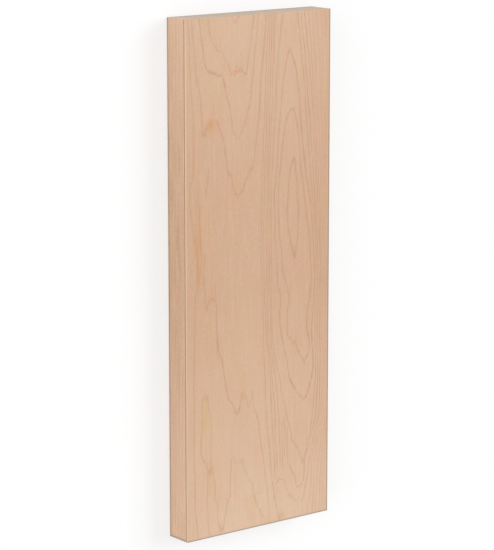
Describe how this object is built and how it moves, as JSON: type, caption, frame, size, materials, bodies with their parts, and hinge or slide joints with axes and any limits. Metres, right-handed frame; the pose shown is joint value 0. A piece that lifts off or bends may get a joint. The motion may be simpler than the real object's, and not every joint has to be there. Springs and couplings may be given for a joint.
{
  "type": "lipped plywood sheet",
  "caption": "Rectangular cut sheet of maple-faced plywood with a solid wood lip set into one long edge between the face plies, for shelves, drawer sides and panels.",
  "frame": {"origin": "middle of the back face, on the surface that the sheet lies on", "axes": "+X across the face grain towards the raw long edge, +Y along the face grain, +Z out of the front face"},
  "size_m": [0.115, 0.33, 0.019],
  "materials": {
    "plywood": "satin",
    "lip": "satin"
  },
  "bodies": {
    "root": {"plywood_sheet": "plywood", "edge_lip": "lip"}
  },
  "joints": []
}
